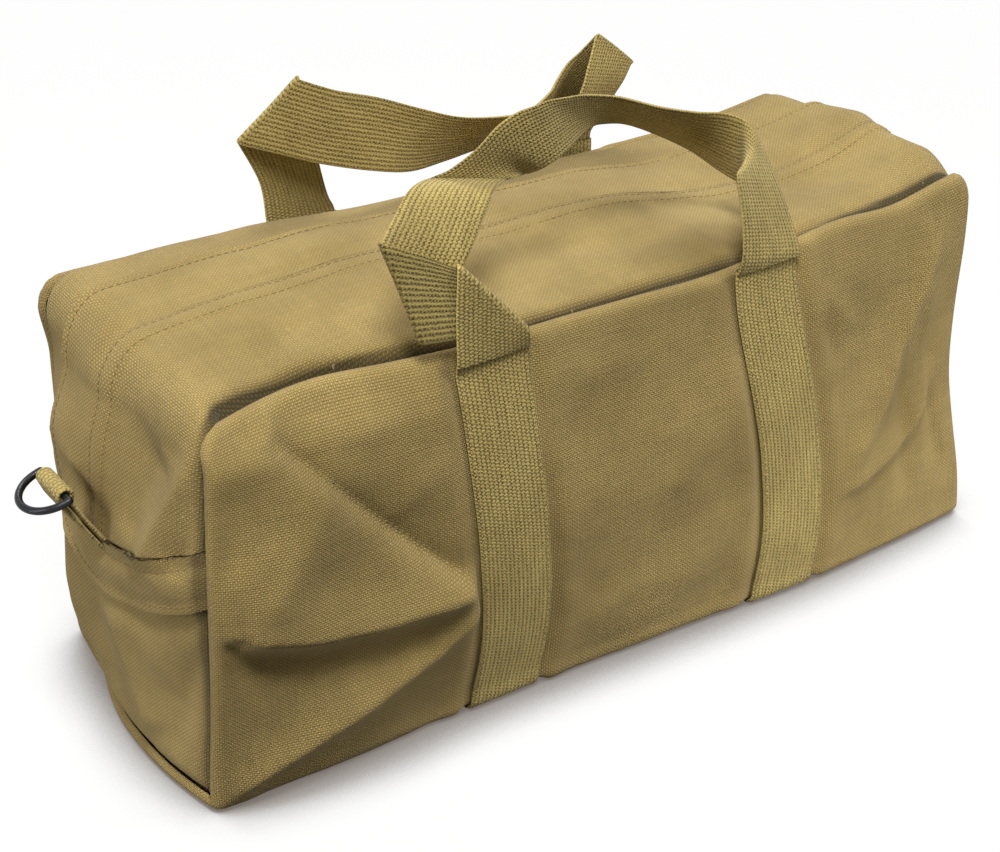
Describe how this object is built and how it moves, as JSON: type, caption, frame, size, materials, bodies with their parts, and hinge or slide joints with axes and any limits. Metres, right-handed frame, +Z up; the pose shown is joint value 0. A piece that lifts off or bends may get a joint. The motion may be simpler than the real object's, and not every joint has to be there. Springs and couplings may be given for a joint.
{
  "type": "tool bag",
  "caption": "Oblong canvas tool bag with a zipped top under a storm flap, raised webbing handles sewn round the body, and a D-ring at each end.",
  "frame": {"origin": "on the ground, under the middle of the bag", "axes": "+X along the bag to its right end, +Y to the back, +Z up"},
  "size_m": [0.6204, 0.2154, 0.3182],
  "materials": {
    "canvas": "matt cotton duck",
    "webbing": "matt cotton webbing",
    "zip_tape": "matt",
    "zip_metal": "dull",
    "ring_metal": "black, satin"
  },
  "bodies": {
    "root": {"body_wrap": "canvas", "end_panel_left": "canvas", "end_panel_right": "canvas", "end_band_left": "canvas", "end_band_right": "canvas", "front_gusset_left": "canvas", "front_gusset_right": "canvas", "back_gusset_left": "canvas", "back_gusset_right": "canvas", "zip_end_left": "zip_tape", "zip_end_right": "zip_tape", "strap_left": "webbing", "strap_right": "webbing", "ring_tab_left": "webbing", "ring_tab_right": "webbing"},
    "front_leaf": {"top_front_panel": "canvas", "zip_tape_front": "zip_tape", "zip_teeth_front": "zip_metal"},
    "back_leaf": {"top_back_panel": "canvas", "zip_tape_back": "zip_tape", "zip_teeth_back": "zip_metal"},
    "flap": {"storm_flap": "canvas"},
    "slider": {"zip_slider": "zip_metal"},
    "pull": {"zip_pull": "zip_metal"},
    "front_handle": {"handle_front": "webbing"},
    "rear_handle": {"handle_rear": "webbing"},
    "ring_left": {"d_ring_left": "ring_metal"},
    "ring_right": {"d_ring_right": "ring_metal"}
  },
  "joints": [
    {"name": "front_leaf_open", "type": "hinge", "parent": "root", "child": "front_leaf", "pos_m": [0, -0.09498, 0.21765], "axis": [1, 0, 0], "range_deg": [0, 55]},
    {"name": "back_leaf_open", "type": "hinge", "parent": "root", "child": "back_leaf", "pos_m": [0, 0.09498, 0.21765], "axis": [-1, 0, 0], "range_deg": [0, 78]},
    {"name": "zip_slide", "type": "slide", "parent": "root", "child": "slider", "axis": [-1, 0, 0], "range_m": [0, 0.3841]},
    {"name": "zip_pull_turn", "type": "hinge", "parent": "slider", "child": "pull", "pos_m": [0.21551, 0.016, 0.2193], "axis": [0, -1, 0], "range_deg": [0, 66]},
    {"name": "flap_lift", "type": "hinge", "parent": "front_leaf", "child": "flap", "pos_m": [0, 0.005, 0.22959], "axis": [1, 0, 0], "range_deg": [0, 100]},
    {"name": "front_handle_swing", "type": "hinge", "parent": "front_leaf", "child": "front_handle", "pos_m": [0, -0.09498, 0.21765], "axis": [1, 0, 0], "range_deg": [0, 110]},
    {"name": "rear_handle_swing", "type": "hinge", "parent": "back_leaf", "child": "rear_handle", "pos_m": [0, 0.09498, 0.21765], "axis": [-1, 0, 0], "range_deg": [0, 85]},
    {"name": "left_ring_turn", "type": "hinge", "parent": "root", "child": "ring_left", "pos_m": [-0.28986, 0, 0.164], "axis": [0, 1, 0], "range_deg": [-75, 100]},
    {"name": "right_ring_turn", "type": "hinge", "parent": "root", "child": "ring_right", "pos_m": [0.28986, 0, 0.164], "axis": [0, -1, 0], "range_deg": [-75, 100]}
  ],
  "couplings": [
    {"joint": "back_leaf_open", "follows": "front_leaf_open", "ratio": 1.418},
    {"joint": "zip_slide", "follows": "front_leaf_open", "m_per_rad": 0.4},
    {"joint": "zip_pull_turn", "follows": "front_leaf_open", "ratio": 1.2}
  ]
}
